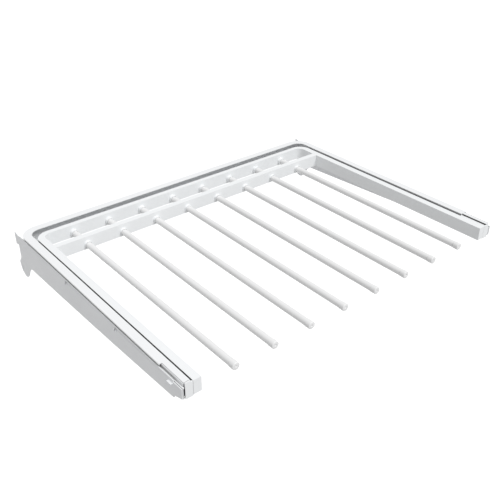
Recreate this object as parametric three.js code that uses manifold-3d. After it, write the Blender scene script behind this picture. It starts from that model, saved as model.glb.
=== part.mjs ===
// Pull-out trouser rack for a slotted wall upright system.
// Two hook brackets carry roller runners; a U-shaped gliding frame rolls out on them, and a moulded
// insert with eight hanging rods sits in the frame. Millimetres, +Z up, the open rod ends face -Y.
// Origin: middle of the width, in the plane where the brackets bear on the uprights, at rod height.

import * as THREE from 'three';
import { mergeVertices } from 'three/addons/utils/BufferGeometryUtils.js';
import Module from 'manifold-3d';

const wasm = await Module();
wasm.setup();

// ---- driving dimensions -------------------------------------------------------------------------

const GAP = 0.3; // clearance between pieces that touch
const FRONT_Y = -450; // front ends of rods, runners and brackets
const INSERT_TOP = 13.6; // upper face of the insert

const ROD_COUNT = 8;
const ROD_PITCH = 63;
const ROD_RADIUS = 5.25;
const ROD_SIDES = 20;
const ROD_SOCKET_DEPTH = 5; // how far a rod reaches into the insert's back bar
const ROD_CAP_LENGTH = 9;
const ROD_CAP_RADIUS = 5.7;

const INSERT = {
  outerX: 283.3,
  armWidth: 11.8,
  bottom: -8,
  backY: -24,
  backWidth: 8.5,
  outerRadius: 22,
  innerRadius: 12,
  crossFrontY: -79.7,
  crossWidth: 10.5,
};

const FRAME = {
  top: 15.6,
  outerX: 299.3,
  innerX: 286.6,
  backY: -1,
  backInnerY: -14,
  outerRadius: 28,
  innerRadius: 17,
  sheet: 1,
  wallSetBack: 0.5, // the wall stands behind the rim's inner edge along the sides
  wallBackY: -4.2, // and well behind it along the back
  wallRadius: 22,
  lipBottom: 13.2,
  wallBottom: -9.5,
  ledgeX: 279,
  ledgeY: -27,
  ledgeThickness: 1.2,
  frontY: -447.5,
};

const NOTCH_Y = -403; // the frame's outer edge is cut away in front of this
const TONGUE_X = 295.2; // width left in front of the notch on the left rail
const GROOVE = { innerX: 287.7, outerX: 291, bottom: 4 }; // in front of the notch on the right rail

const END_CAP_TOP = INSERT_TOP - 0.1; // the right-hand rim drops to this height in front of the notch

const PLATE = { outerX: 300, thickness: 1.5, top: 11.5, noseTop: 9, noseLength: 17 };
const HOOK = { reach: 9, slotWall: 2.2 };
const RIVET_Y = [-165, -301.4];
const RIVET_Z = 5.5;

const RUNNER = {
  outerX: 298.2,
  sheet: 0.9,
  top: 9.9,
  bottom: -7,
  rearY: -24,
  shallowX: 295.9, // inner edge of the top flange near the front
  deepX: 291, // inner edge of the top flange behind the front roller
  deepFromY: -380,
  floorX: 289.6,
  floorFrontX: 295,
  floorFromY: -446,
};

const SLIDE = { innerX: 288.4, outerX: 296.2, web: 0.9, top: 14.3, sheet: 1.1, rearY: -38.2, bottom: -7.5 };

const ROLLER = { radius: 6.5, bore: 2.06, pin: 2, sides: 24, play: 0.25 };
const FRONT_ROLLER = { y: -390, innerX: 290.6, outerX: 295 };
const REAR_ROLLER = { y: -47, innerX: 289.8, outerX: 294.4 };
const STOP_Y = -354.6; // rear face of the lug that ends the travel

const SCREW_Y = [-80, -220, -370];
const SCREW_Z = -3.9;

// ---- materials ----------------------------------------------------------------------------------

const finish = (color, roughness, metalness) => () =>
  new THREE.MeshStandardMaterial({ color, roughness, metalness });

const whiteCoat = finish(0xf4f7f8, 0.45, 0.0);
const bracketCoat = finish(0xdfe2e3, 0.5, 0.1);
const whitePlastic = finish(0xf6f9fb, 0.5, 0.0);
const nylon = finish(0xe9e7de, 0.4, 0.0);
const zincSteel = finish(0xb4b7ba, 0.35, 0.9);
const blackRubber = finish(0x161719, 0.8, 0.0);

// ---- helpers ------------------------------------------------------------------------------------

const rack = new THREE.Group();

// Local (u, v, w) of an extrusion becomes world (y, z, x).
const SIDE_VIEW = new THREE.Matrix4().makeBasis(
  new THREE.Vector3(0, 1, 0),
  new THREE.Vector3(0, 0, 1),
  new THREE.Vector3(1, 0, 0),
);

// The axis of a lathed shape, local Y, becomes world X.
const ALONG_X = new THREE.Matrix4().makeBasis(
  new THREE.Vector3(0, 0, 1),
  new THREE.Vector3(1, 0, 0),
  new THREE.Vector3(0, 1, 0),
);

function toSolid(geometry) {
  const bare = geometry.clone();
  bare.deleteAttribute('normal');
  bare.deleteAttribute('uv');
  const merged = mergeVertices(bare, 1e-4);
  const mesh = new wasm.Mesh({
    numProp: 3,
    vertProperties: new Float32Array(merged.attributes.position.array),
    triVerts: new Uint32Array(merged.index.array),
  });
  return new wasm.Manifold(mesh);
}

function toGeometry(solid) {
  const mesh = solid.getMesh();
  const geometry = new THREE.BufferGeometry();
  geometry.setAttribute('position', new THREE.BufferAttribute(mesh.vertProperties, 3));
  geometry.setIndex(new THREE.BufferAttribute(mesh.triVerts, 1));
  return geometry;
}

const join = (solids) => solids.reduce((whole, piece) => whole.add(piece));
const cut = (solid, tools) => tools.reduce((rest, tool) => rest.subtract(tool), solid);

function addNode(name, geometry, material) {
  const mesh = new THREE.Mesh(geometry, material());
  mesh.name = name;
  rack.add(mesh);
}

function box(x0, x1, y0, y1, z0, z1) {
  const geometry = new THREE.BoxGeometry(Math.abs(x1 - x0), Math.abs(y1 - y0), Math.abs(z1 - z0));
  geometry.translate((x0 + x1) / 2, (y0 + y1) / 2, (z0 + z1) / 2);
  return toSolid(geometry);
}

function slab(shape, z0, z1, curveSegments = 12) {
  const geometry = new THREE.ExtrudeGeometry(shape, { depth: z1 - z0, bevelEnabled: false, curveSegments });
  geometry.translate(0, 0, z0);
  return toSolid(geometry);
}

function lathe(profile, sides) {
  const points = profile.map(([radius, along]) => new THREE.Vector2(radius, along));
  return new THREE.LatheGeometry(points, sides);
}

// A turned piece whose axis lies along X; distances along the axis are world X of the +X side.
function turnedAlongX(profile, sides, y, z) {
  return lathe(profile, sides).applyMatrix4(ALONG_X).translate(0, y, z);
}

// Mirrors a solid of the right-hand side (+X) to the side asked for.
const onSide = (solid, side) => (side > 0 ? solid : solid.mirror([1, 0, 0]));

// Outline of a U seen from above: straight arms from frontY back to a bar, with round outer corners.
function uPath(path, x, backY, radius, frontY) {
  path.moveTo(-x, frontY);
  path.lineTo(x, frontY);
  path.lineTo(x, backY - radius);
  path.absarc(x - radius, backY - radius, radius, 0, Math.PI / 2, false);
  path.lineTo(-x + radius, backY);
  path.absarc(-x + radius, backY - radius, radius, Math.PI / 2, Math.PI, false);
  path.closePath();
  return path;
}

// A U-shaped band between an outer and an inner outline, open at the front.
function uBand(outer, inner, frontY, z0, z1) {
  const whole = slab(uPath(new THREE.Shape(), outer.x, outer.y, outer.radius, frontY), z0, z1);
  const open = slab(uPath(new THREE.Shape(), inner.x, inner.y, inner.radius, frontY - 1), z0 - 1, z1 + 1);
  return whole.subtract(open);
}

// ---- hook brackets, fixed to the wall uprights ---------------------------------------------------

function bracketOutline() {
  const shape = new THREE.Shape();
  shape.moveTo(FRONT_Y, PLATE.noseTop);
  shape.lineTo(FRONT_Y, -6.3);
  shape.lineTo(FRONT_Y + 14.5, -10.8);
  shape.lineTo(FRONT_Y + 18, -15.8);
  shape.quadraticCurveTo(-235, -29, -36.5, -35.6); // gently bowed lower edge, deepest at the wall
  shape.lineTo(-29, -42);
  shape.lineTo(-23, -51.5);
  shape.quadraticCurveTo(-16, -63.8, -7, -63.8); // heel of the lower hook
  shape.lineTo(0, -61.5);
  shape.lineTo(0, -46);
  shape.lineTo(HOOK.slotWall, -46);
  shape.lineTo(HOOK.slotWall, -60);
  shape.quadraticCurveTo(7.5, -55, 9, -42);
  shape.lineTo(0, -30.5);
  shape.lineTo(0, -4.5);
  shape.lineTo(HOOK.slotWall, -4.5);
  shape.lineTo(HOOK.slotWall, -8.5);
  shape.lineTo(HOOK.reach, -8.5);
  shape.lineTo(HOOK.reach, 12.4);
  shape.lineTo(-4, 10);
  shape.lineTo(-12, PLATE.top);
  shape.lineTo(FRONT_Y + PLATE.noseLength, PLATE.top);
  shape.lineTo(FRONT_Y + PLATE.noseLength, PLATE.noseTop);
  shape.closePath();
  return shape;
}

function bracketPlate() {
  const plate = new THREE.ExtrudeGeometry(bracketOutline(), {
    depth: PLATE.thickness,
    bevelEnabled: false,
    curveSegments: 14,
  });
  plate.applyMatrix4(SIDE_VIEW).translate(PLATE.outerX - PLATE.thickness, 0, 0);
  const ear = box(PLATE.outerX - 0.5, PLATE.outerX + 4, FRONT_Y + 17, FRONT_Y + 26, 6.4, 7.6);
  const rivetHoles = RIVET_Y.map((y) => pinHole(y, RIVET_Z, 2));
  return cut(toSolid(plate).add(ear), rivetHoles);
}

function pinHole(y, z, radius) {
  const profile = [[0, 280], [radius, 280], [radius, 305], [0, 305]];
  return toSolid(turnedAlongX(profile, 16, y, z));
}

// Hollow rivet: its bore is left open on the outside.
function rivet(y) {
  const outside = PLATE.outerX + GAP;
  const inside = RUNNER.outerX - RUNNER.sheet - GAP;
  const bore = 1.1;
  const boreEnd = outside - 2.5;
  const profile = [
    [0, inside - 0.6], [2.4, inside - 0.6], [2.4, inside], [1.7, inside], [1.7, outside], [2.7, outside],
    [2.3, outside + 0.6], [1.6, outside + 0.9], [bore, outside + 0.6], [bore, boreEnd], [0, boreEnd],
  ];
  return turnedAlongX(profile, 16, y, RIVET_Z);
}

// ---- fixed half of each roller runner -------------------------------------------------------------

function fixedRunner() {
  const { outerX, sheet, top, bottom, rearY, shallowX, deepX, deepFromY, floorX, floorFrontX } = RUNNER;
  const web = box(outerX - sheet, outerX, FRONT_Y, rearY, bottom, top);
  const topFront = box(shallowX, outerX, FRONT_Y, rearY, top - sheet, top);
  const topRear = box(deepX, outerX, deepFromY, rearY, top - sheet, top);
  const floorFront = box(floorFrontX, outerX, FRONT_Y, rearY, bottom, bottom + sheet);
  const floor = box(floorX, outerX, RUNNER.floorFromY, rearY, bottom, bottom + sheet);
  const lug = box(floorX + 1, outerX, STOP_Y - 2, STOP_Y, bottom, -1);
  const holes = RIVET_Y.map((y) => pinHole(y, RIVET_Z, 2));
  holes.push(pinHole(FRONT_ROLLER.y, frontRollerZ(), ROLLER.pin + GAP));
  return cut(join([web, topFront, topRear, floorFront, floor, lug]), holes);
}

function rearBuffer() {
  const floor = RUNNER.bottom + RUNNER.sheet + GAP;
  const body = box(290, RUNNER.outerX - RUNNER.sheet - GAP, SLIDE.rearY + 0.6, SLIDE.rearY + 9, floor, 8);
  const slot = box(292, 295, SLIDE.rearY, SLIDE.rearY + 3.5, floor - 1, 9);
  return body.subtract(slot);
}

// Rubber block in the mouth of the runner, beside the gliding frame.
function frontStop() {
  const inside = RUNNER.outerX - RUNNER.sheet - GAP;
  const floor = RUNNER.bottom + RUNNER.sheet + GAP;
  const body = box(295.5, inside, FRONT_Y + 3, FRONT_Y + 14, floor + 4, RUNNER.top - RUNNER.sheet - GAP);
  const relief = box(295, 296.1, FRONT_Y + 8, FRONT_Y + 15, floor + 6, 5);
  return body.subtract(relief);
}

// ---- rollers and their pins -----------------------------------------------------------------------

const frontRollerZ = () => SLIDE.top - SLIDE.sheet - ROLLER.play - ROLLER.radius;
const rearRollerZ = () => RUNNER.bottom + RUNNER.sheet + ROLLER.play + ROLLER.radius;

// Nylon wheel: bored through, with a dished outer face.
function roller(innerX, outerX, y, z) {
  const { radius, bore, sides } = ROLLER;
  const profile = [
    [bore, innerX], [radius - 0.5, innerX], [radius, innerX + 0.5], [radius, outerX - 0.5],
    [radius - 0.5, outerX], [4.4, outerX], [3.4, outerX - 0.9], [bore, outerX - 0.9], [bore, innerX],
  ];
  return turnedAlongX(profile, sides, y, z);
}

function rollerPin(fromX, headStartX, headEndX, y, z) {
  const headRadius = 3.1;
  const ends = headStartX < fromX
    ? [[0, headStartX], [headRadius, headStartX], [headRadius, headEndX], [ROLLER.pin, headEndX],
      [ROLLER.pin, fromX], [0, fromX]]
    : [[0, fromX], [ROLLER.pin, fromX], [ROLLER.pin, headStartX], [headRadius, headStartX],
      [headRadius, headEndX], [0, headEndX]];
  return turnedAlongX(ends, ROLLER.sides, y, z);
}

// ---- moving half of each runner --------------------------------------------------------------------

function slideMember(side) {
  const { innerX, outerX, web, top, sheet, rearY, bottom } = SLIDE;
  const frontY = FRAME.frontY;
  const upright = box(innerX, innerX + web, frontY, rearY, bottom, top);
  const cover = box(innerX, outerX, frontY, rearY, top - sheet, top);
  const lip = box(outerX - web, outerX, frontY, rearY, RUNNER.top + GAP, top);
  const holes = SCREW_Y.map((y) => pinHole(y, SCREW_Z, 1.8));
  holes.push(pinHole(REAR_ROLLER.y, rearRollerZ(), ROLLER.pin + GAP));
  if (side > 0) holes.push(frontGroove());
  return cut(join([upright, cover, lip]), holes);
}

// Groove in front of the notch on the right-hand rail.
const frontGroove = () => box(GROOVE.innerX, GROOVE.outerX, FRAME.frontY - 1, NOTCH_Y, GROOVE.bottom, 20);

function slideScrew(y) {
  const headStart = SLIDE.innerX + SLIDE.web + 0.25;
  const profile = [
    [0, 286.4], [1.2, 286.4], [1.5, 286.8], [1.5, headStart], [1.9, headStart], [1.9, headStart + 0.6],
    [0, headStart + 0.6],
  ];
  return turnedAlongX(profile, 14, y, SCREW_Z);
}

// ---- gliding frame -----------------------------------------------------------------------------------

function glidingFrame() {
  const { outerX, innerX, backY, backInnerY, outerRadius, innerRadius, sheet, frontY } = FRAME;
  const outer = { x: outerX, y: backY, radius: outerRadius };
  const inner = { x: innerX, y: backInnerY, radius: innerRadius };
  const wallInner = { x: innerX + FRAME.wallSetBack, y: FRAME.wallBackY, radius: FRAME.wallRadius };
  const ledgeInner = { x: FRAME.ledgeX, y: FRAME.ledgeY, radius: 10 };
  const grown = (edge, by) => ({ x: edge.x + by, y: edge.y + by, radius: edge.radius + by });
  const wallOuter = grown(wallInner, sheet);
  const bottom = FRAME.wallBottom;
  const lipTop = FRAME.top - sheet + 0.01;
  const top = uBand(outer, inner, frontY, FRAME.top - sheet, FRAME.top);
  const lip = uBand(outer, grown(outer, -sheet), frontY, FRAME.lipBottom, lipTop);
  const wall = uBand(wallOuter, wallInner, frontY, bottom, lipTop);
  const ledge = uBand(wallOuter, ledgeInner, frontY, bottom, bottom + FRAME.ledgeThickness);
  const leftNotch = box(-300, -TONGUE_X, frontY - 1, NOTCH_Y, 5, 20);
  const rightRim = box(280, 300, frontY - 1, NOTCH_Y, END_CAP_TOP, 20);
  const rightNotch = box(GROOVE.innerX, 300, frontY - 1, NOTCH_Y, SLIDE.top + 0.25, 20);
  const screwHoles = SCREW_Y.flatMap((y) => [1, -1].map((side) => onSide(pinHole(y, SCREW_Z, 1.8), side)));
  return cut(join([top, lip, wall, ledge]), [leftNotch, rightRim, rightNotch, frontGroove(), ...screwHoles]);
}

// Moulded plug that closes the front of a rail and the gap beside the insert. The right-hand one also
// fills the mouth of the runner, and carries a strip back to the notch.
function railEndCap(side) {
  const top = END_CAP_TOP;
  const faceBack = FRAME.frontY - GAP;
  const lowFace = box(283.6, 294.8, FRONT_Y + 0.4, faceBack, FRAME.wallBottom, top);
  const plug = box(291.3, 294, faceBack - 0.1, FRAME.frontY + 6, -5, 8);
  if (side < 0) return join([lowFace, box(286.6, 294.8, FRONT_Y + 0.4, faceBack, 0, FRAME.top - 0.1), plug]);
  const strip = box(283.6, FRAME.innerX + FRAME.wallSetBack - GAP, FRONT_Y + 2, NOTCH_Y - GAP, 6, top);
  const tab = box(294.5, 296.9, FRONT_Y + 0.4, faceBack, -5.7, 8.6);
  return join([lowFace, plug, strip, tab]);
}

// ---- moulded insert with its rods ----------------------------------------------------------------------

const rodX = (index) => (index - (ROD_COUNT - 1) / 2) * ROD_PITCH;
const rodIndexes = [...Array(ROD_COUNT).keys()];

// A round cutter or boss along Y, from y0 to y1, with its own radius at each end.
function coneAlongY(x, y0, r0, y1, r1) {
  return toSolid(lathe([[0, y0], [r0, y0], [r1, y1], [0, y1]], ROD_SIDES).translate(x, 0, 0));
}

function insertFrame() {
  const { outerX, armWidth, bottom, backY, backWidth, outerRadius, innerRadius } = INSERT;
  const { crossFrontY, crossWidth } = INSERT;
  const crossBackY = crossFrontY + crossWidth;
  const innerX = outerX - armWidth;
  const barFrontY = backY - backWidth;
  const u = uBand(
    { x: outerX, y: backY, radius: outerRadius },
    { x: innerX, y: barFrontY, radius: innerRadius },
    FRONT_Y + 0.4,
    bottom,
    INSERT_TOP,
  );
  const cross = box(-innerX - 1, innerX + 1, crossFrontY, crossBackY, bottom, INSERT_TOP);
  const bosses = rodIndexes.flatMap((index) => [
    coneAlongY(rodX(index), crossFrontY - 4, ROD_RADIUS + 0.8, crossFrontY + 1, ROD_RADIUS + 1.8),
    coneAlongY(rodX(index), crossBackY - 1, ROD_RADIUS + 1.8, crossBackY + 4, ROD_RADIUS + 0.8),
    coneAlongY(rodX(index), barFrontY - 5, ROD_RADIUS + 0.8, barFrontY + 1, ROD_RADIUS + 2.4),
  ]);
  const bore = ROD_RADIUS + GAP;
  const bores = rodIndexes.map((index) =>
    coneAlongY(rodX(index), crossFrontY - 10, bore, barFrontY + ROD_SOCKET_DEPTH + GAP, bore));
  return cut(join([u, cross, ...bosses]), [...bores, ...undersidePockets(innerX, barFrontY)]);
}

// Hollows moulded into the underside, with a rib between neighbours.
function undersidePockets(innerX, barFrontY) {
  const depth = INSERT_TOP - 3;
  const wall = 2.8;
  const rib = 4;
  const armStart = FRONT_Y + 6;
  const armEnd = INSERT.crossFrontY - 4;
  const count = 6;
  const step = (armEnd - armStart + rib) / count;
  const pockets = [];
  for (let i = 0; i < count; i += 1) {
    const y0 = armStart + i * step;
    for (const side of [-1, 1]) {
      const x0 = side * (innerX + wall);
      const x1 = side * (INSERT.outerX - wall);
      pockets.push(box(x0, x1, y0, y0 + step - rib, INSERT.bottom - 1, depth));
    }
  }
  const reach = ROD_PITCH / 2 - ROD_RADIUS - 6;
  for (let i = 0; i < ROD_COUNT - 1; i += 1) {
    const x = (rodX(i) + rodX(i + 1)) / 2;
    for (const [y0, width] of [[INSERT.crossFrontY, INSERT.crossWidth], [barFrontY, INSERT.backWidth]]) {
      pockets.push(box(x - reach, x + reach, y0 + wall, y0 + width - wall, INSERT.bottom - 1, depth));
    }
  }
  return pockets;
}

const rodBackY = INSERT.backY - INSERT.backWidth + ROD_SOCKET_DEPTH;

function rod(index) {
  const r = ROD_RADIUS;
  const frontY = FRONT_Y + 2.2;
  const neckEnd = FRONT_Y + ROD_CAP_LENGTH + GAP;
  const profile = [
    [0, frontY], [r - 1.4, frontY], [r - 1.4, neckEnd], [r, neckEnd],
    [r, rodBackY - 0.8], [r - 0.8, rodBackY], [0, rodBackY],
  ];
  return lathe(profile, ROD_SIDES).translate(rodX(index), 0, 0);
}

// End cap pushed over the rod's neck: round shoulder and a small moulded dimple in its face.
function rodCap(index) {
  const r = ROD_CAP_RADIUS;
  const bore = ROD_RADIUS - 1.1;
  const end = FRONT_Y + ROD_CAP_LENGTH;
  const profile = [
    [0, FRONT_Y + 1.2], [0.8, FRONT_Y + 1.0], [1.3, FRONT_Y + 0.1], [r - 1.6, FRONT_Y],
    [r - 0.6, FRONT_Y + 0.35], [r, FRONT_Y + 1.3], [r, end], [bore, end],
    [bore, FRONT_Y + 1.9], [0, FRONT_Y + 1.9],
  ];
  return lathe(profile, ROD_SIDES).translate(rodX(index), 0, 0);
}

// ---- assembly -------------------------------------------------------------------------------------------

for (const [name, side] of [['left', -1], ['right', 1]]) {
  const mirrored = (geometry) => toGeometry(onSide(toSolid(geometry), side));
  const frontZ = frontRollerZ();
  const rearZ = rearRollerZ();
  const frontPin = rollerPin(RUNNER.outerX - 0.1, 289.65, 290.25, FRONT_ROLLER.y, frontZ);
  const rearPin = rollerPin(SLIDE.innerX + 0.1, 294.6, 295.2, REAR_ROLLER.y, rearZ);
  const frontWheel = roller(FRONT_ROLLER.innerX, FRONT_ROLLER.outerX, FRONT_ROLLER.y, frontZ);
  const rearWheel = roller(REAR_ROLLER.innerX, REAR_ROLLER.outerX, REAR_ROLLER.y, rearZ);
  addNode(`${name}_hook_bracket`, toGeometry(onSide(bracketPlate(), side)), bracketCoat);
  addNode(`${name}_fixed_runner`, toGeometry(onSide(fixedRunner(), side)), whiteCoat);
  addNode(`${name}_rear_buffer`, toGeometry(onSide(rearBuffer(), side)), blackRubber);
  addNode(`${name}_front_stop`, toGeometry(onSide(frontStop(), side)), blackRubber);
  addNode(`${name}_front_roller_pin`, mirrored(frontPin), zincSteel);
  addNode(`${name}_front_roller`, mirrored(frontWheel), nylon);
  addNode(`${name}_slide_member`, toGeometry(onSide(slideMember(side), side)), whiteCoat);
  addNode(`${name}_rear_roller_pin`, mirrored(rearPin), zincSteel);
  addNode(`${name}_rear_roller`, mirrored(rearWheel), nylon);
  addNode(`${name}_rail_end_cap`, toGeometry(onSide(railEndCap(side), side)), whitePlastic);
  RIVET_Y.forEach((y, i) => addNode(`${name}_runner_rivet_${i + 1}`, mirrored(rivet(y)), zincSteel));
  SCREW_Y.forEach((y, i) => addNode(`${name}_slide_screw_${i + 1}`, mirrored(slideScrew(y)), zincSteel));
}

addNode('gliding_frame', toGeometry(glidingFrame()), whiteCoat);
addNode('insert_frame', toGeometry(insertFrame()), whitePlastic);

for (const index of rodIndexes) {
  addNode(`hanging_rod_${index + 1}`, rod(index), whitePlastic);
  addNode(`rod_end_cap_${index + 1}`, rodCap(index), whitePlastic);
}

export default rack;
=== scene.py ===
# %% [markdown]
# A pull-out trouser rack for a wardrobe with slotted wall uprights. Two steel brackets hook into the
# uprights. Between them a U-shaped frame glides out on rollers, and a moulded insert with eight rods
# sits in the frame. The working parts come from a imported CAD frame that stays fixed. This lesson makes
# the surfaces that the eye sees: rounded edges, smooth rods, pressed dimples, and the finishes.

import math

import bpy
from mathutils import Matrix, Vector


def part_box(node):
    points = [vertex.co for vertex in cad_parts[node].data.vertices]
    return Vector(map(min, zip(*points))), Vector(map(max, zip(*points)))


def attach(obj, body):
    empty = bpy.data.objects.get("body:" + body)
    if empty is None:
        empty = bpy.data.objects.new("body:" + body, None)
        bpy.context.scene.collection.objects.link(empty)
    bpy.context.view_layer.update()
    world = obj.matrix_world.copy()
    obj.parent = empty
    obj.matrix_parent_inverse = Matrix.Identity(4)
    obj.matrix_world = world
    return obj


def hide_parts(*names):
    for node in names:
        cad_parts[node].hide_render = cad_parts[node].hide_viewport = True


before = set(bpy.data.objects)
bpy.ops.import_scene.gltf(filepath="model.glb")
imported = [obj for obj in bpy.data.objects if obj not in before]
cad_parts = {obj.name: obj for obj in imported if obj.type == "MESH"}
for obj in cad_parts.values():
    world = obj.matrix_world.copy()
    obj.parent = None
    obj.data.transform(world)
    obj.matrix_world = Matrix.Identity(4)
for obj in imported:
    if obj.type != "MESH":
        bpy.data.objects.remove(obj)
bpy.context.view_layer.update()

# %% [markdown]
# Every measure is in metres, so millimetres need a short helper. The operators work on whatever is
# selected, and the loaded frame is selected, so each piece starts by clearing the selection. Faces that
# meet at a small angle are shaded as one smooth surface.

# %% Small helpers
MM = 0.001
SIDES = {"left": -1, "right": 1}
SMOOTH_ANGLE = 35


def mm(*values):
    return Vector([value * MM for value in values])


def only(piece):
    bpy.ops.object.select_all(action="DESELECT")
    piece.select_set(True)
    bpy.context.view_layer.objects.active = piece
    return piece


def placed(name):
    """Names the piece that was just added and moves its place and turn into its mesh."""
    piece = bpy.context.object
    piece.name = name
    piece.data.name = name
    only(piece)
    bpy.ops.object.transform_apply(location=True, rotation=True, scale=True)
    return piece


def outward(piece):
    """Merges doubled points, then turns every face outwards."""
    only(piece)
    bpy.ops.object.mode_set(mode="EDIT")
    bpy.ops.mesh.select_all(action="SELECT")
    bpy.ops.mesh.remove_doubles(threshold=1e-6)
    bpy.ops.mesh.normals_make_consistent(inside=False)
    bpy.ops.object.mode_set(mode="OBJECT")
    return piece


def smooth(piece, angle=SMOOTH_ANGLE):
    only(piece)
    bpy.ops.object.shade_smooth_by_angle(angle=math.radians(angle))
    return piece


print("sides:", SIDES, "smooth below, degrees:", SMOOTH_ANGLE)

# %% [markdown]
# Finishes are node materials. Writing their sums as Python expressions keeps them readable: the class
# below wraps a node's socket, and each operator adds the Math node that does the sum. One method makes
# every other node, with its settings first and its inputs after. The gaps between the rack's parts are
# a few millimetres wide and fall in shade, and that shade is painted into the colours: an Ambient
# Occlusion node tells how closed in a point is, and a ramp on it darkens the colour in such gaps and
# leaves open faces white.

# %% Shader expressions


class Value:
    def __init__(self, finish, socket):
        self.finish = finish
        self.socket = socket

    def math(self, operation, first, second):
        return self.finish.node("ShaderNodeMath", {"operation": operation}, {0: first, 1: second})

    def __add__(self, other):
        return self.math("ADD", self, other)

    def __mul__(self, other):
        return self.math("MULTIPLY", self, other)

    __radd__ = __add__
    __rmul__ = __mul__


class Finish:
    """A material under construction, with its shader and its object-space coordinates."""

    def __init__(self, name, constants):
        self.material = bpy.data.materials.new(name)
        self.material.use_nodes = True
        self.tree = self.material.node_tree
        self.tree.nodes.clear()
        self.shader = self.tree.nodes.new("ShaderNodeBsdfPrincipled")
        output = self.tree.nodes.new("ShaderNodeOutputMaterial")
        self.tree.links.new(self.shader.outputs["BSDF"], output.inputs["Surface"])
        for socket, value in constants.items():
            self.shader.inputs[socket].default_value = value
        self.coordinates = self.node("ShaderNodeTexCoord", {}, {}, "Object")

    def connect(self, socket, value):
        if isinstance(value, Value):
            self.tree.links.new(value.socket, socket)
        else:
            socket.default_value = value

    def node(self, kind, settings, inputs, output=0):
        made = self.tree.nodes.new(kind)
        for key, value in settings.items():
            if key == "stops":
                for stop, (position, level) in zip(made.color_ramp.elements, value):
                    stop.position = position
                    stop.color = (level, level, level, 1)
            else:
                setattr(made, key, value)
        for key, value in inputs.items():
            self.connect(made.inputs[key], value)
        return Value(self, made.outputs[output])

    def stretched(self, x, y, z):
        return self.node("ShaderNodeMapping", {}, {"Vector": self.coordinates, "Scale": (x, y, z)})

    def noise(self, scale, detail=2.0, roughness=0.5, at=None):
        inputs = {"Vector": at or self.coordinates, "Scale": scale, "Detail": detail, "Roughness": roughness}
        return self.node("ShaderNodeTexNoise", {"normalize": True}, inputs)

    def ramp(self, value, low, high):
        return self.node("ShaderNodeValToRGB", {"stops": ((low, 0.0), (high, 1.0))}, {"Fac": value})

    def mix(self, amount, first, second):
        inputs = {0: amount, 6: (*first, 1), 7: (*second, 1)}
        return self.node("ShaderNodeMix", {"data_type": "RGBA"}, inputs, 2)

    def painted_gap_shade(self, color, depth=22, darkest=0.16):
        """Paints shade into a colour: darkens it where other surfaces close in within the depth, in
        millimetres.
        """
        inputs = {"Color": (1, 1, 1, 1), "Distance": depth * MM}
        openness = self.node("ShaderNodeAmbientOcclusion", {"samples": 8}, inputs, "AO")
        inputs = {0: self.ramp(openness, low=0.12, high=0.5), 6: (darkest, darkest, darkest, 1), 7: color}
        return self.node("ShaderNodeMix", {"data_type": "RGBA"}, inputs, 2)

    def surface(self, color=None, roughness=None, bump=None, depth=0.0):
        if color:
            self.connect(self.shader.inputs["Base Color"], color)
        if roughness:
            self.connect(self.shader.inputs["Roughness"], roughness)
        if bump:
            inputs = {"Height": bump, "Distance": depth * MM, "Strength": 1.0}
            normal = self.node("ShaderNodeBump", {}, inputs, "Normal")
            self.connect(self.shader.inputs["Normal"], normal)
        return self.material


print("shader expressions ready")

# %% [markdown]
# The steel parts are powder coated. The powder melts into a skin with a fine, even ripple, called orange
# peel, and pools very slightly, so gloss and tone drift over a few centimetres. The brackets' coat is a
# shade greyer than the gliding frame's.

# %% Powder coat


def powder_coat(name, light, shade):
    finish = Finish(name, {"Specular IOR Level": 0.45, "Coat Roughness": 0.3, "Coat Weight": 0.08})
    drift = finish.noise(14.0, detail=3.0)
    peel = finish.noise(620.0, detail=2.0)
    pinholes = finish.ramp(finish.noise(2600.0, detail=1.0), 0.62, 0.74)
    # Painted shade: an Ambient Occlusion node darkens the coat's colour in narrow gaps.
    color = finish.painted_gap_shade(finish.mix(finish.ramp(drift, 0.35, 0.7), light, shade))
    roughness = 0.36 + drift * 0.1 + peel * 0.06
    return finish.surface(color, roughness, peel + pinholes * 0.3, depth=0.05)


white_coat = powder_coat("white_powder_coat", (0.925, 0.935, 0.945), (0.9, 0.912, 0.925))
bracket_coat = powder_coat("bracket_powder_coat", (0.885, 0.897, 0.912), (0.855, 0.868, 0.885))
print("powder coats:", white_coat.name, bracket_coat.name)

# %% [markdown]
# The insert, rods and caps are moulded in white plastic. The mould's fine spark-eroded grain leaves a
# satin surface, and long flow bands change the gloss a little along each moulding. The rods and caps are
# a slightly darker, more neutral white than the insert. The rollers are unpainted nylon, which is cream.

# %% Moulded plastic


def moulded_plastic(name, light, shade, gloss):
    finish = Finish(name, {"Specular IOR Level": 0.5, "IOR": 1.49})
    flow = finish.noise(9.0, detail=2.0, at=finish.stretched(1.0, 0.25, 1.0))
    grain = finish.noise(1900.0, detail=2.0, roughness=0.6)
    # Painted shade: an Ambient Occlusion node darkens the plastic's colour in narrow gaps.
    color = finish.painted_gap_shade(finish.mix(finish.ramp(flow, 0.3, 0.75), light, shade))
    roughness = gloss + flow * 0.09 + grain * 0.07
    return finish.surface(color, roughness, grain, depth=0.022)


white_plastic = moulded_plastic("white_moulded_plastic", (0.93, 0.945, 0.955), (0.91, 0.927, 0.94), 0.33)
rod_plastic = moulded_plastic("rod_plastic", (0.895, 0.896, 0.898), (0.868, 0.869, 0.872), 0.3)
nylon = moulded_plastic("natural_nylon", (0.8, 0.785, 0.72), (0.76, 0.74, 0.67), 0.28)
print("plastics:", white_plastic.name, rod_plastic.name, nylon.name)

# %% [markdown]
# Rivets, pins and screws are zinc-plated steel. Plating is bright, with small crystals that differ in
# tone. A rivet's open bore is dark with painted shade, which turns the plating's colour nearly black in
# narrow gaps. The buffers and stops are black rubber, dull and slightly mottled.

# %% Zinc and rubber


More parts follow.
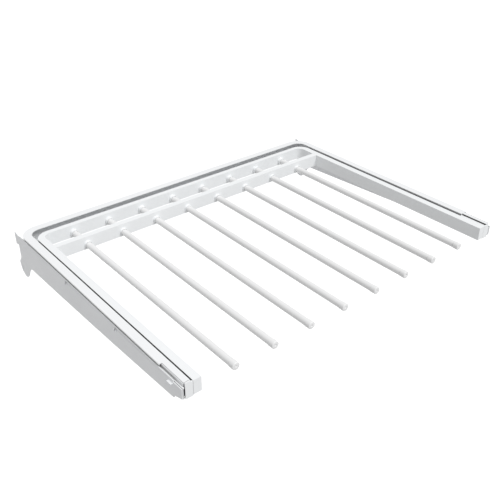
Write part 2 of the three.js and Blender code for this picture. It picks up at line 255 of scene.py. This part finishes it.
def zinc_plate():
    finish = Finish("zinc_plated_steel", {"Metallic": 1.0})
    crystals = finish.node(
        "ShaderNodeTexVoronoi", {"feature": "F1"}, {"Vector": finish.coordinates, "Scale": 900.0}, "Distance"
    )
    scratches = finish.noise(300.0, detail=3.0, at=finish.stretched(1.0, 6.0, 6.0))
    # Painted shade: an Ambient Occlusion node turns the plating's colour nearly black in the bores and other
    # narrow gaps.
    color = finish.painted_gap_shade(finish.mix(crystals, (0.68, 0.69, 0.7), (0.55, 0.56, 0.58)), depth=6, darkest=0.03)
    roughness = 0.24 + crystals * 0.12 + scratches * 0.08
    return finish.surface(color, roughness, scratches, depth=0.01)


def black_rubber():
    finish = Finish("black_rubber", {"Specular IOR Level": 0.35})
    mottle = finish.noise(180.0, detail=4.0)
    color = finish.mix(mottle, (0.018, 0.018, 0.019), (0.034, 0.034, 0.035))
    return finish.surface(color, 0.7 + mottle * 0.15, mottle, depth=0.06)


zinc = zinc_plate()
rubber = black_rubber()
print("metal and rubber:", zinc.name, rubber.name)

# %% [markdown]
# A finished piece gets its material and slot, rides on the body that its CAD node belongs to, and
# replaces that node in the picture. The node stays in the frame for the motion.


def hand_over(piece, material, body, *nodes):
    piece.data.materials.clear()
    piece.data.materials.append(material)
    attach(piece, body)
    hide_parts(*nodes)
    return piece


def span(node):
    """A node's lowest and highest corner in millimetres."""
    low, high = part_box(node)
    return low / MM, high / MM


# %% [markdown]
# Rods, caps, rollers, pins, rivets and screws are round. Each is spun from half of its outline: a row
# of points is made from a plane's edge by extruding, and turned through a full circle.

# %% Turned pieces
TURNED_ANGLE = 40


def turned(name, outline, axis, steps):
    """Spins an outline of (radius, distance along the axis), in millimetres, about the X or Y axis."""
    def at(radius, along):
        return mm(radius, along, 0) if axis == "Y" else mm(along, radius, 0)

    bpy.ops.mesh.primitive_plane_add(size=1)
    piece = bpy.context.object
    bpy.ops.object.mode_set(mode="EDIT")
    bpy.ops.mesh.merge(type="CENTER")
    bpy.ops.mesh.select_all(action="SELECT")
    bpy.ops.transform.translate(value=at(*outline[0]))
    for here, there in zip(outline, outline[1:]):
        step = at(*there) - at(*here)
        bpy.ops.mesh.extrude_region_move(TRANSFORM_OT_translate={"value": step})
    bpy.ops.mesh.select_all(action="SELECT")
    bpy.ops.mesh.spin(
        steps=steps,
        angle=2 * math.pi,
        center=(0, 0, 0),
        axis=(0, 1, 0) if axis == "Y" else (1, 0, 0),
    )
    bpy.ops.object.mode_set(mode="OBJECT")
    piece = outward(placed(name))
    return smooth(piece, TURNED_ANGLE)


def moved(piece, x=0.0, y=0.0, z=0.0):
    only(piece)
    bpy.ops.transform.translate(value=mm(x, y, z))
    bpy.ops.object.transform_apply(location=True, rotation=True, scale=True)
    return piece


def copied(piece, name, x=0.0, y=0.0, z=0.0):
    """A copy with its own mesh, moved to its place."""
    only(piece)
    bpy.ops.object.duplicate(linked=False)
    copy = bpy.context.object
    copy.name = name
    copy.data.name = name
    return moved(copy, x, y, z)


print("turned pieces are smooth below, degrees:", TURNED_ANGLE)

# %% [markdown]
# Eight rods carry the trousers. Each is a straight moulded bar, so one is spun and the rest are copies.
# The rear end has a small chamfer where it enters the back bar, and the front end a neck for its cap.

# %% Hanging rods
ROD_COUNT = 8
rod_low, rod_high = span("hanging_rod_1")
ROD_RADIUS = (rod_high.x - rod_low.x) / 2
FRONT_Y = span("rod_end_cap_1")[0].y
CAP_LENGTH = span("rod_end_cap_1")[1].y - FRONT_Y
CAP_RADIUS = (span("rod_end_cap_1")[1].x - span("rod_end_cap_1")[0].x) / 2
NECK_RADIUS = ROD_RADIUS - 1.4
NECK_END = FRONT_Y + CAP_LENGTH + 0.3
SHOULDER = 0.25
REAR_CHAMFER = 0.8
ROD_STEPS = 56
rod_x = []
for number in range(1, ROD_COUNT + 1):
    low, high = span(f"hanging_rod_{number}")
    rod_x.append((low.x + high.x) / 2)

rod_outline = [
    (0, rod_low.y),
    (NECK_RADIUS, rod_low.y),
    (NECK_RADIUS, NECK_END),
    (ROD_RADIUS - SHOULDER, NECK_END),
    (ROD_RADIUS, NECK_END + SHOULDER),
    (ROD_RADIUS, rod_high.y - REAR_CHAMFER),
    (ROD_RADIUS - REAR_CHAMFER, rod_high.y),
    (0, rod_high.y),
]
rod_pattern = turned("rod_pattern", rod_outline, "Y", ROD_STEPS)
for number, x in enumerate(rod_x, start=1):
    rod = copied(rod_pattern, f"smooth_rod_{number}", x=x)
    hand_over(rod, rod_plastic, "rack", f"hanging_rod_{number}")
bpy.data.objects.remove(rod_pattern)
print("rods at x, mm:", [round(x, 1) for x in rod_x], "radius:", round(ROD_RADIUS, 2))

# %% [markdown]
# A white cap closes each rod. Its rim is rounded, and the moulding gate leaves a small dimple in the
# middle of the face, with a raised ring round it.

# %% Rod end caps


def arc(centre_radius, centre_along, radius, start, end, steps):
    """Points on a circular arc, with angles in degrees from the axis direction."""
    points = []
    for step in range(steps + 1):
        turn = math.radians(start + (end - start) * step / steps)
        points.append((centre_radius + radius * math.sin(turn), centre_along - radius * math.cos(turn)))
    return points


CAP_ROUNDING = 1.1
CAP_CHAMFER = 0.25
SOCKET_RADIUS = ROD_RADIUS - 1.1
SOCKET_FLOOR = FRONT_Y + 1.9
DIMPLE = [(0, 1.0), (0.7, 0.95), (1.15, 0.55), (1.5, 0.1)]
RING = [(1.9, 0.0), (2.5, 0.12)]
face_y = FRONT_Y + RING[-1][1]
cap_outline = [(radius, FRONT_Y + depth) for radius, depth in DIMPLE + RING]
cap_outline += arc(CAP_RADIUS - CAP_ROUNDING, face_y + CAP_ROUNDING, CAP_ROUNDING, 0, 90, 8)
cap_outline += [
    (CAP_RADIUS, FRONT_Y + CAP_LENGTH - CAP_CHAMFER),
    (CAP_RADIUS - CAP_CHAMFER, FRONT_Y + CAP_LENGTH),
    (SOCKET_RADIUS, FRONT_Y + CAP_LENGTH),
    (SOCKET_RADIUS, SOCKET_FLOOR),
    (0, SOCKET_FLOOR),
]
cap_pattern = turned("cap_pattern", cap_outline, "Y", ROD_STEPS)
for number, x in enumerate(rod_x, start=1):
    cap = copied(cap_pattern, f"smooth_rod_cap_{number}", x=x)
    hand_over(cap, rod_plastic, "rack", f"rod_end_cap_{number}")
bpy.data.objects.remove(cap_pattern)
print("caps:", ROD_COUNT, "length, mm:", round(CAP_LENGTH, 2))

# %% [markdown]
# A block is a cube added at its size and place. It is a start for the crossbar and for cutters.

# %% Blocks


def block(name, x, y, z):
    """A box between two values, in millimetres, along each axis."""
    centre = mm(*[(low + high) / 2 for low, high in (x, y, z)])
    size = mm(*[abs(high - low) for low, high in (x, y, z)])
    bpy.ops.mesh.primitive_cube_add(size=1, location=centre, scale=size)
    return placed(name)


print("a block runs between two values along", ("x", "y", "z"))

# %% [markdown]
# Booleans join or cut. The exact solver keeps flat faces flat, which the bevel after it needs.

# %% Joining and cutting
SOLVER = "EXACT"


def apply_modifiers(piece):
    only(piece)
    for modifier in list(piece.modifiers):
        bpy.ops.object.modifier_apply(modifier=modifier.name)
    return piece


def boolean(piece, tools, operation):
    for tool in tools:
        modifier = piece.modifiers.new(operation.title(), "BOOLEAN")
        modifier.operation = operation
        modifier.object = tool
        modifier.solver = SOLVER
        apply_modifiers(piece)
        bpy.data.objects.remove(tool)
    return piece


def joined(name, pieces):
    """Several loose shapes as one object, such as a row of cutters that don't touch."""
    bpy.ops.object.select_all(action="DESELECT")
    for piece in pieces:
        piece.select_set(True)
    bpy.context.view_layer.objects.active = pieces[0]
    bpy.ops.object.join()
    bpy.context.object.name = name
    return bpy.context.object


print("boolean solver:", SOLVER)

# %% [markdown]
# The insert is a U-shaped band. A plane is stretched to the U's outline, its two rear corners are
# rounded by a bevel on their points, and it is pulled up to its height. A smaller one then cuts the
# inside away, so the two radii are free to differ, as they do on the real part. The gliding frame's
# outlines start from the same solid.

# %% U-shaped bands
CORNER_STEPS = 20
OVERSHOOT = 1


def pick(piece, chosen):
    """Enters edit mode with only the points selected that the test accepts."""
    only(piece)
    bpy.ops.object.mode_set(mode="EDIT")
    bpy.ops.mesh.select_mode(type="VERT")
    bpy.ops.mesh.select_all(action="DESELECT")
    bpy.ops.object.mode_set(mode="OBJECT")
    for vertex in piece.data.vertices:
        vertex.select = chosen(vertex)
    bpy.ops.object.mode_set(mode="EDIT")


def u_block(name, x, back_y, radius, front_y, z):
    """A solid with a straight front and two round rear corners, where x is its half width."""
    centre = mm(0, (back_y + front_y) / 2, z[0])
    bpy.ops.mesh.primitive_plane_add(size=1, location=centre)
    piece = bpy.context.object
    piece.scale = (2 * x * MM, (back_y - front_y) * MM, 1)
    piece = placed(name)
    pick(piece, lambda vertex: vertex.co.y > centre.y)
    bpy.ops.mesh.bevel(
        offset=radius * MM, segments=CORNER_STEPS, profile=0.5, affect="VERTICES", clamp_overlap=False
    )
    bpy.ops.mesh.select_all(action="SELECT")
    bpy.ops.mesh.extrude_region_move(TRANSFORM_OT_translate={"value": (0, 0, (z[1] - z[0]) * MM)})
    bpy.ops.object.mode_set(mode="OBJECT")
    return outward(piece)


def u_band(name, outer, inner, front_y, z):
    """outer and inner are (half width, rear y, corner radius)."""
    band = u_block(name, *outer, front_y, z)
    hollow = u_block(name + "_inside", *inner, front_y - OVERSHOOT, (z[0] - OVERSHOOT, z[1] + OVERSHOOT))
    return boolean(band, [hollow], "DIFFERENCE")


print("steps in a round corner:", CORNER_STEPS)

# %% [markdown]
# The insert is one moulding: a U whose arms run beside the rods, a crossbar that holds them, and a back
# bar that takes their ends. The U is a band and the crossbar a block that reaches into both arms, so a
# boolean makes them one body.

# %% Insert frame
insert_low, insert_high = span("insert_frame")
INSERT_X = insert_high.x
ARM_WIDTH = 11.8
BAR_WIDTH = 8.5
INSERT_RADIUS = 22
INSIDE_RADIUS = 12
CROSS_FRONT = -79.7
CROSS_WIDTH = 10.5
CROSS_OVERLAP = 2
arm_inside = INSERT_X - ARM_WIDTH
bar_front = insert_high.y - BAR_WIDTH
cross_back = CROSS_FRONT + CROSS_WIDTH

insert = u_band(
    "smooth_insert_frame",
    (INSERT_X, insert_high.y, INSERT_RADIUS),
    (arm_inside, bar_front, INSIDE_RADIUS),
    insert_low.y,
    (insert_low.z, insert_high.z),
)
cross_reach = arm_inside + CROSS_OVERLAP
crossbar = block(
    "crossbar", (-cross_reach, cross_reach), (CROSS_FRONT, cross_back), (insert_low.z, insert_high.z)
)
insert = boolean(insert, [crossbar], "UNION")
print("insert, mm:", [round(v, 1) for v in (*insert_low, *insert_high)])

# %% [markdown]
# Moulded bars are cored out from below, so that they cool evenly: pockets between thin ribs. They are
# blocks, cut away in one go because they don't touch each other.

# %% Pockets underneath
WALL = 2.8
RIB = 4
ARM_POCKETS = 6
ROOF = 3
FRONT_WALL = 5.6
ROD_SURROUND = 6
pocket_z = (insert_low.z - OVERSHOOT, insert_high.z - ROOF)
arm_start = insert_low.y + FRONT_WALL
arm_step = (CROSS_FRONT - arm_start) / ARM_POCKETS
pockets = []
for side in SIDES.values():
    for index in range(ARM_POCKETS):
        start = arm_start + index * arm_step
        x = sorted((side * (arm_inside + WALL), side * (INSERT_X - WALL)))
        pockets.append(block("pocket", x, (start, start + arm_step - RIB), pocket_z))
pitch = rod_x[1] - rod_x[0]
reach = pitch / 2 - ROD_RADIUS - ROD_SURROUND
for left_rod in rod_x[:-1]:
    middle = left_rod + pitch / 2
    for front, width in ((CROSS_FRONT, CROSS_WIDTH), (bar_front, BAR_WIDTH)):
        y = (front + WALL, front + width - WALL)
        pockets.append(block("pocket", (middle - reach, middle + reach), y, pocket_z))
print("pockets:", len(pockets))
insert = boolean(insert, [joined("pockets", pockets)], "DIFFERENCE")

# %% [markdown]
# Real edges are never sharp: sheet metal has a bend, a moulding has a radius. A bevel on the edges that
# turn more than a given angle catches the light as the real edge does. Faces with many corners are
# split first, because a bevel can fold them over, and weighted normals keep the flats flat.

# %% Rounding edges
CORNER_ANGLE = 40


def rounded(piece, width, segments=3, angle=30):
    """Rounds the edges that turn more than the angle, in millimetres and degrees."""
    flats = piece.modifiers.new("Split large faces", "TRIANGULATE")
    flats.min_vertices = 5
    rounding = piece.modifiers.new("Rounding", "BEVEL")
    rounding.width = width * MM
    rounding.segments = segments
    rounding.limit_method = "ANGLE"
    rounding.angle_limit = math.radians(angle)
    rounding.use_clamp_overlap = True
    apply_modifiers(piece)
    smooth(piece)
    flat_shading = piece.modifiers.new("Flat faces stay flat", "WEIGHTED_NORMAL")
    flat_shading.keep_sharp = True
    return apply_modifiers(piece)


print("moulded corners turn more than, degrees:", CORNER_ANGLE)

# %% [markdown]
# Where a rod leaves a bar, a round boss flares out, which spreads the load. Each flare is a short
# trumpet: wide on the bar's face, and down to just over the rod's radius a few millimetres out. It has
# a thin step at the rod, where the moulded collar ends. The flares are spun with their roots inside the
# bar and joined on after its edges are rounded, so the bevel leaves them alone.

# %% Flares at the rods
FLARE_ROOT = 2
FLARE_BORE = ROD_RADIUS + 0.3
COLLAR_RADIUS = ROD_RADIUS + 0.75
FLARE_CURVE = 2.4
CURVE_STEPS = 8
FLARE_STEPS = 48
EDGE_ROUNDING = 0.5


def flare(name, face, direction, length, spread):
    """A trumpet from inside the bar out to its collar, along -Y (direction -1) or +Y (1)."""
    root = face - direction * FLARE_ROOT
    mouth_radius = ROD_RADIUS + spread
    outline = [(FLARE_BORE, root), (mouth_radius, root)]
    for step in range(CURVE_STEPS + 1):
        share = step / CURVE_STEPS
        radius = COLLAR_RADIUS + (mouth_radius - COLLAR_RADIUS) * (1 - share) ** FLARE_CURVE
        outline.append((radius, face + direction * length * share))
    outline.append((FLARE_BORE, face + direction * length))
    outline.append(outline[0])
    return turned(name, outline, "Y", FLARE_STEPS)


flare_patterns = [
    flare("front_flare", CROSS_FRONT, -1, 3.5, 1.2),
    flare("rear_flare", cross_back, 1, 4.0, 1.2),
    flare("bar_flare", bar_front, -1, 6.0, 1.0),
]
insert = rounded(insert, EDGE_ROUNDING, angle=CORNER_ANGLE)
flares = []
for pattern in flare_patterns:
    for x in rod_x:
        flares.append(copied(pattern, "flare", x=x))
    bpy.data.objects.remove(pattern)
flares = joined("smooth_rod_flares", flares)
insert = joined("smooth_insert_frame", [insert, flares])
smooth(insert)
hand_over(insert, white_plastic, "rack", "insert_frame")
print("insert faces:", len(insert.data.polygons))

# %% [markdown]
# The gliding frame is sheet steel, bent so that a flat rim covers each runner. A lip turns down outside,
# a wall turns down inside, and a ledge along the wall's foot carries the insert. Every corner of that
# section runs round the U as one open outline, with a radius of its own. Bridging each outline to the
# next makes the sheet, and its two front ends are filled.

# %% A section carried round a U
NEAR = 0.5


def u_outline(name, edge, front_y, z):
    """The open line of a U: two arms and a back with round corners, at height z."""
    line = u_block(name, *edge, front_y, (z, z + 1))
    pick(line, lambda vertex: vertex.co.z > (z + NEAR) * MM)
    bpy.ops.mesh.delete(type="VERT")
    bpy.ops.mesh.select_all(action="SELECT")
    bpy.ops.mesh.delete(type="ONLY_FACE")
    bpy.ops.object.mode_set(mode="OBJECT")
    pick(line, lambda vertex: vertex.co.y < (front_y + NEAR) * MM)
    bpy.ops.mesh.delete(type="EDGE_FACE")
    bpy.ops.object.mode_set(mode="OBJECT")
    return line


def u_section(name, corners, front_y):
    """Bridges the outlines of a section's corners, each an edge and a height, in order and back round."""
    lines = [u_outline("outline", edge, front_y, z) for edge, z in corners]
    points = len(lines[0].data.vertices)
    piece = joined(name, lines)
    for index in range(len(corners)):
        pair = (index, (index + 1) % len(corners))
        pick(piece, lambda vertex: vertex.index // points in pair)
        bpy.ops.mesh.bridge_edge_loops()
        bpy.ops.object.mode_set(mode="OBJECT")
    for side in SIDES.values():
        pick(piece, lambda vertex: vertex.co.y < (front_y + NEAR) * MM and vertex.co.x * side > 0)
        bpy.ops.mesh.edge_face_add()
        bpy.ops.object.mode_set(mode="OBJECT")
    return outward(piece)


def grown(edge, distance):
    return tuple(value + distance for value in edge)


print("points this near the front are its end, mm:", NEAR)

# %% [markdown]
# The section has twelve corners. Each edge is given as a half width, the y of its rear and the radius of
# its corners, and is listed with its height. The sheet is a millimetre thick, and the ledge a little
# more.

# %% Gliding frame
frame_low, frame_high = span("gliding_frame")
SHEET = 1.0
LEDGE_THICKNESS = 1.2
LIP_BOTTOM = 13.2
SHEET_ROUNDING = 0.22
rim_outside = (frame_high.x, frame_high.y, 28)
rim_inside = (286.6, -14, 17)
wall_inside = (287.1, -4.2, 22)
ledge_inside = (279, -27, 10)
lip_inside = grown(rim_outside, -SHEET)
wall_outside = grown(wall_inside, SHEET)
rim_under = frame_high.z - SHEET
ledge_top = frame_low.z + LEDGE_THICKNESS
section = [
    (rim_outside, LIP_BOTTOM),
    (rim_outside, frame_high.z),
    (rim_inside, frame_high.z),
    (rim_inside, rim_under),
    (wall_inside, rim_under),
    (wall_inside, ledge_top),
    (ledge_inside, ledge_top),
    (ledge_inside, frame_low.z),
    (wall_outside, frame_low.z),
    (wall_outside, rim_under),
    (lip_inside, rim_under),
    (lip_inside, LIP_BOTTOM),
]
gliding = u_section("smooth_gliding_frame", section, frame_low.y)
print("gliding frame, mm:", [round(v, 1) for v in (*frame_low, *frame_high)])

# %% [markdown]
# Near the front the rim is cut back to clear the runners' ends: a narrow strip of its outer edge on the
# left, and the whole rim on the right, where a groove beside the slide member shows. The cutters stand a
# little out of line with each other, because faces in one plane can make a boolean fail.

# %% Front cut-outs
NOTCH_Y = -403
TONGUE_X = 295.2
GROOVE_X = (287.7, 291)
GROOVE_FLOOR = 4
NOTCH_FLOOR = 5
SLIDE_GAP = 0.25
RIM_CUT_X = 280
CUTTER_X = 301
CUTTER_TOP = 20
slide_top = span("right_slide_member")[1].z
plug_top = span("right_rail_end_cap")[1].z
front = (frame_low.y - 2, NOTCH_Y)
left_notch = block("left_notch", (-CUTTER_X, -TONGUE_X), front, (NOTCH_FLOOR, CUTTER_TOP))
right_rim = block("right_rim", (RIM_CUT_X, CUTTER_X), front, (plug_top, CUTTER_TOP))
front = (front[0] - 0.5, NOTCH_Y)
right_notch = block("right_notch", (GROOVE_X[0], CUTTER_X), front, (slide_top + SLIDE_GAP, CUTTER_TOP - 1))
front = (front[0] - 0.5, NOTCH_Y)
groove = block("groove", GROOVE_X, front, (GROOVE_FLOOR, CUTTER_TOP - 2))
gliding = boolean(gliding, [left_notch, right_rim, right_notch, groove], "DIFFERENCE")
gliding = rounded(gliding, SHEET_ROUNDING, angle=CORNER_ANGLE)
hand_over(gliding, white_coat, "rack", "gliding_frame")
print("gliding frame faces:", len(gliding.data.polygons))

# %% [markdown]
# The brackets, runners, slide members and plugs are pressings and mouldings whose CAD shape is already
# right. They only need their edges rounded. A CAD node is loose triangles, so a copy of it is merged into
# whole flat faces, and then a bevel can round its edges.

# %% Brackets, runners, slides, buffers and plugs
FLAT_ANGLE = 1
SOFTENED = [
    ("hook_bracket", 0.35, bracket_coat, "brackets"),
    ("fixed_runner", 0.22, white_coat, "brackets"),
    ("slide_member", 0.25, white_coat, "rack"),
    ("rear_buffer", 0.5, rubber, "brackets"),
    ("front_stop", 0.3, rubber, "brackets"),
    ("rail_end_cap", 0.4, white_plastic, "rack"),
]


def softened(node, name, width):
    """A copy of a CAD node with its edges rounded, its width in millimetres."""
    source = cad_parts[node]
    only(source)
    bpy.ops.object.duplicate(linked=False)
    copy = bpy.context.object
    copy.name = name
    copy.data.name = name
    copy.parent = None
    for key in list(copy.keys()):
        del copy[key]
    only(copy)
    bpy.ops.object.mode_set(mode="EDIT")
    bpy.ops.mesh.select_all(action="SELECT")
    bpy.ops.mesh.remove_doubles(threshold=1e-5)
    bpy.ops.mesh.dissolve_limited(angle_limit=math.radians(FLAT_ANGLE))
    bpy.ops.object.mode_set(mode="OBJECT")
    return rounded(copy, width, segments=2)


for node, width, material, body in SOFTENED:
    for side in SIDES:
        piece = softened(f"{side}_{node}", f"smooth_{side}_{node}", width)
        hand_over(piece, material, body, f"{side}_{node}")
        print(piece.name, "faces:", len(piece.data.polygons))

# %% [markdown]
# Rollers are nylon wheels with a dished face and rounded treads. Their pins, the rivets and the slide
# screws are turned steel. Each is spun for the right-hand side, then mirrored for the left. A mirror
# turns a mesh inside out, so its faces are turned outwards again.

# %% Rollers
ROLLER_BORE = 2.06
HARDWARE_STEPS = 40


def mirrored(piece, name):
    """The same piece for the other side of the rack."""
    copy = copied(piece, name)
    only(copy)
    bpy.ops.transform.resize(value=(-1, 1, 1), center_override=(0, 0, 0))
    bpy.ops.object.transform_apply(location=True, rotation=True, scale=True)
    return outward(copy)


def turned_pair(node, outline, material, right_body, left_body):
    """Spins a piece round an X axis through the middle of its CAD node, for both sides."""
    low, high = span(f"right_{node}")
    right = turned(f"smooth_right_{node}", outline, "X", HARDWARE_STEPS)
    right = moved(right, y=(low.y + high.y) / 2, z=(low.z + high.z) / 2)
    left = mirrored(right, f"smooth_left_{node}")
    smooth(left, TURNED_ANGLE)
    hand_over(right, material, right_body, f"right_{node}")
    hand_over(left, material, left_body, f"left_{node}")


def wheel_outline(node):
    low, high = span(node)
    radius = (high.z - low.z) / 2
    return [
        (ROLLER_BORE, low.x), (3.0, low.x), (3.2, low.x + 0.35), (radius - 1.5, low.x + 0.35),
        (radius - 1.2, low.x), (radius - 0.5, low.x), (radius - 0.15, low.x + 0.15), (radius, low.x + 0.5),
        (radius, high.x - 0.5), (radius - 0.15, high.x - 0.15), (radius - 0.5, high.x),
        (4.4, high.x), (3.4, high.x - 0.9), (ROLLER_BORE, high.x - 0.9), (ROLLER_BORE, low.x),
    ]


for which in ("front", "rear"):
    node = f"{which}_roller"
    outline = wheel_outline(f"right_{node}")
    turned_pair(node, outline, nylon, f"right_{which}_wheel", f"left_{which}_wheel")
print("rollers: 4")

# %% [markdown]
# A pin is a plain shaft with a flat head that keeps its roller on. The front pins are fixed in the runners
# and have their heads on the rack's side. The rear ones are fixed in the slide members and have theirs on
# the brackets' side.

# %% Pins
front_pin_low, front_pin_high = span("right_front_roller_pin")
rear_pin_low, rear_pin_high = span("right_rear_roller_pin")
PIN_RADIUS = 2.0
PIN_HEAD = (front_pin_high.z - front_pin_low.z) / 2
HEAD_THICKNESS = 0.6
front_head = front_pin_low.x + HEAD_THICKNESS
rear_head = rear_pin_high.x - HEAD_THICKNESS
front_pin = [
    (0, front_pin_low.x), (PIN_HEAD - 0.25, front_pin_low.x), (PIN_HEAD, front_pin_low.x + 0.2),
    (PIN_HEAD, front_head), (PIN_RADIUS, front_head),
    (PIN_RADIUS, front_pin_high.x - 0.3), (PIN_RADIUS - 0.3, front_pin_high.x), (0, front_pin_high.x),
]
rear_pin = [
    (0, rear_pin_low.x), (PIN_RADIUS - 0.3, rear_pin_low.x), (PIN_RADIUS, rear_pin_low.x + 0.3),
    (PIN_RADIUS, rear_head), (PIN_HEAD, rear_head),
    (PIN_HEAD, rear_pin_high.x - 0.2), (PIN_HEAD - 0.25, rear_pin_high.x), (0, rear_pin_high.x),
]
turned_pair("front_roller_pin", front_pin, zinc, "brackets", "brackets")
turned_pair("rear_roller_pin", rear_pin, zinc, "rack", "rack")
print("pins: 4")

# %% [markdown]
# A rivet is hollow: its domed outer head is open to a deep bore, and its inner head is flat. A slide
# screw has a pan head and a small drive recess.

# %% Rivets and screws
BORE_DEPTH = 3.4
for number in (1, 2):
    low, high = span(f"right_runner_rivet_{number}")
    dome = high.x
    inner_head = low.x + HEAD_THICKNESS
    rivet = [
        (0, low.x), (2.2, low.x), (2.4, low.x + 0.2), (2.4, inner_head), (1.7, inner_head),
        (1.7, dome - 0.9), (2.7, dome - 0.9), (2.62, dome - 0.6), (2.3, dome - 0.3), (1.95, dome - 0.08),
        (1.85, dome), (1.7, dome - 0.1), (1.5, dome - 0.5), (1.45, dome - BORE_DEPTH), (0, dome - BORE_DEPTH),
    ]
    turned_pair(f"runner_rivet_{number}", rivet, zinc, "brackets", "brackets")
for number in (1, 2, 3):
    low, high = span(f"right_slide_screw_{number}")
    head = high.x - HEAD_THICKNESS
    screw = [
        (0, low.x), (1.2, low.x), (1.5, low.x + 0.4), (1.5, head), (1.9, head), (1.9, head + 0.35),
        (1.65, high.x), (0.7, high.x), (0.6, high.x - 0.3), (0, high.x - 0.3),
    ]
    turned_pair(f"slide_screw_{number}", screw, zinc, "rack", "rack")
print("rivets and screws: 10")

# %% [markdown]
# The rack hangs on a wall, so the floor lies well below it. A wide pale sheet, bright enough to read as
# plain white, fills the view. It throws no light or shade back, so the undersides keep their soft grey.

# %% Floor
FLOOR_Z = -1.0
bpy.ops.mesh.primitive_plane_add(size=60, location=(0, 0, FLOOR_Z))
floor = placed("studio_floor")
floor_finish = Finish("pale_floor", {"Emission Color": (1, 1, 1, 1), "Emission Strength": 0.3})
floor_tone = floor_finish.mix(floor_finish.noise(0.8), (0.93, 0.93, 0.93), (0.9, 0.9, 0.9))
floor.data.materials.append(floor_finish.surface(floor_tone, 0.9))
floor.visible_diffuse = False
floor.visible_shadow = False
print("floor at z:", FLOOR_Z)

# %% [markdown]
# Soft light from the front right and above leaves the top faces brightest, the ends and the crossbar
# a little darker, and the left-hand sides in an even grey. A pale sky fills the rest.

# %% Light
SKY_LEVEL = 0.48
world = bpy.data.worlds.new("studio_sky")
bpy.context.scene.world = world
world.use_nodes = True
world.node_tree.nodes["Background"].inputs["Color"].default_value = (1, 1, 1, 1)
world.node_tree.nodes["Background"].inputs["Strength"].default_value = SKY_LEVEL


def soft_sun(name, direction, strength, angle):
    """A sun whose light comes from the given direction."""
    bpy.ops.object.light_add(type="SUN")
    sun = bpy.context.object
    sun.name = name
    sun.data.energy = strength
    sun.data.angle = math.radians(angle)
    sun.rotation_euler = Vector(direction).to_track_quat("Z", "Y").to_euler()
    return sun


soft_sun("key_light", (0.25, -0.88, 1.5), 2.0, 26)
bpy.context.scene.view_settings.view_transform = "Standard"
print("sky:", SKY_LEVEL)

# %% [markdown]
# The camera stands in front, to the left and above, with a 50 mm lens on a 36 mm sensor. It is rolled a
# fraction of a degree about its own line of sight.

# %% Camera
LENS = 50
SENSOR = 36
CAMERA_PLACE = Vector((-0.6159, -0.9537, 0.5552))
AZIMUTH = math.radians(-39.56)
ELEVATION = math.radians(31.40)
ROLL = math.radians(-0.16)
look = Vector((
    -math.sin(AZIMUTH) * math.cos(ELEVATION),
    math.cos(AZIMUTH) * math.cos(ELEVATION),
    -math.sin(ELEVATION),
))
turn = Matrix.Rotation(ROLL, 4, look) @ look.to_track_quat("-Z", "Y").to_matrix().to_4x4()
bpy.ops.object.camera_add(location=CAMERA_PLACE, rotation=turn.to_euler())
camera = bpy.context.object
camera.name = "camera"
camera.data.lens = LENS
camera.data.sensor_width = SENSOR
camera.data.clip_start = 0.02
camera.data.clip_end = 100
bpy.context.scene.camera = camera
print("camera looks along:", [round(v, 3) for v in look])
